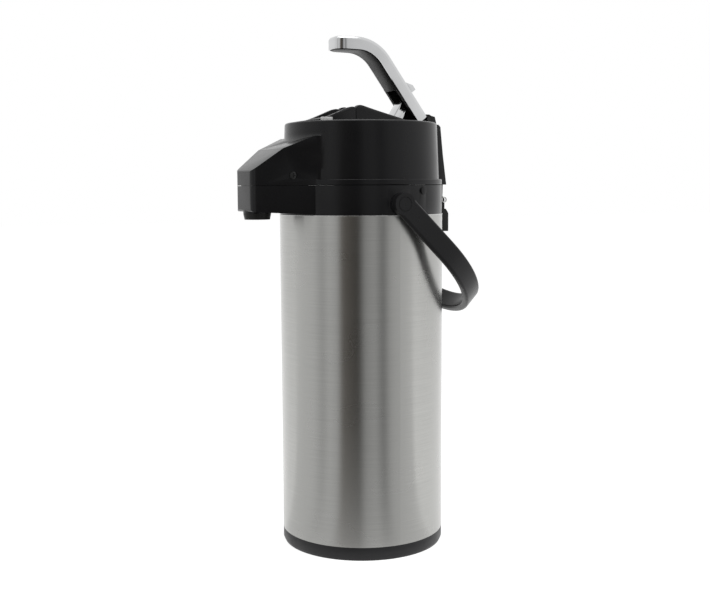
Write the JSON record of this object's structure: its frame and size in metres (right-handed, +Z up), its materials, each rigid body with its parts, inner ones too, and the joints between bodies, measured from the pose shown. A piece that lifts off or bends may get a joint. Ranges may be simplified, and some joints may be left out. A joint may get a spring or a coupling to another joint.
{
  "type": "thermal coffee airpot",
  "caption": "Tall insulated pump dispenser: brushed steel cylinder, black hinged head with beak spout, raised chrome pump lever and swinging carry bail.",
  "frame": {"origin": "centre of the base on the surface that it stands on, on the body's vertical axis", "axes": "+Z up along the body's axis, -Y towards the spout, +Y towards the lid hinge, X along the bail's pivots"},
  "size_m": [0.1574, 0.2091, 0.4373],
  "materials": {
    "steel": "satin brushed stainless steel",
    "flask_steel": "plain stainless steel",
    "head_black": "glossy black moulded plastic",
    "core_black": "black moulded plastic",
    "base_black": "dark grey moulded plastic",
    "bail_black": "black moulded plastic with a fine grain",
    "chrome": "bright chrome plate",
    "screw_steel": "plated steel",
    "screw_black": "black plastic cap",
    "lock_grey": "light grey plastic",
    "rubber": "translucent silicone rubber"
  },
  "bodies": {
    "body": {"outer_shell": "steel", "vacuum_jacket": "flask_steel", "inner_liner": "flask_steel", "dip_tube": "flask_steel", "discharge_pipe": "flask_steel", "shoulder_ring": "head_black", "hinge_bracket": "core_black", "stem_plate": "core_black", "nozzle": "core_black", "base_ring": "base_black", "base_plate": "base_black", "bail_pivots": "bail_black", "base_screws": "screw_steel", "bracket_screws": "screw_steel", "hinge_pin": "screw_steel", "flask_cushion": "rubber", "neck_seal": "rubber"},
    "lid": {"head_shell": "head_black", "side_screws": "screw_black", "lid_plate": "core_black", "lid_screws": "screw_steel", "pump_housing": "core_black", "outlet_seal": "rubber", "air_valve": "rubber", "bellows": "rubber", "return_spring": "flask_steel", "top_cover": "head_black", "thumb_dish": "head_black", "rear_spine": "head_black", "lever_pin": "screw_steel"},
    "lever": {"lever_cover": "chrome", "lever_core": "core_black", "link_pin": "screw_steel", "lever_catch": "chrome"},
    "link": {"pump_link": "chrome"},
    "pusher": {"pusher": "core_black", "yoke_pin": "screw_steel"},
    "lock": {"lever_lock": "lock_grey"},
    "bail": {"bail_handle": "bail_black"}
  },
  "joints": [
    {"name": "lid_hinge", "type": "hinge", "parent": "body", "child": "lid", "pos_m": [0, 0.075, 0.297], "axis": [-1, 0, 0], "range_deg": [0, 90]},
    {"name": "lever_swing", "type": "hinge", "parent": "lid", "child": "lever", "pos_m": [0, 0.0605, 0.367], "axis": [1, 0, 0], "range_deg": [0, 32], "stiffness_Nm_per_rad": 0.5, "springref_deg": -17.19},
    {"name": "pusher_slide", "type": "slide", "parent": "lid", "child": "pusher", "axis": [0, 0, -1], "range_m": [0, 0.0149], "deforming": ["bellows", "return_spring"]},
    {"name": "link_swing", "type": "hinge", "parent": "lever", "child": "link", "pos_m": [0, 0.04206, 0.38236], "axis": [1, 0, 0], "range_deg": [-24.2, 0]},
    {"name": "lock_slide", "type": "slide", "parent": "lid", "child": "lock", "axis": [0, 1, 0], "range_m": [0, 0.005]},
    {"name": "bail_swing", "type": "hinge", "parent": "body", "child": "bail", "pos_m": [0, 0, 0.295], "axis": [1, 0, 0], "range_deg": [0, 104]}
  ],
  "couplings": [
    {"joint": "pusher_slide", "follows": "lever_swing", "m_per_rad": 0.026587},
    {"joint": "link_swing", "follows": "lever_swing", "ratio": -0.74708}
  ]
}
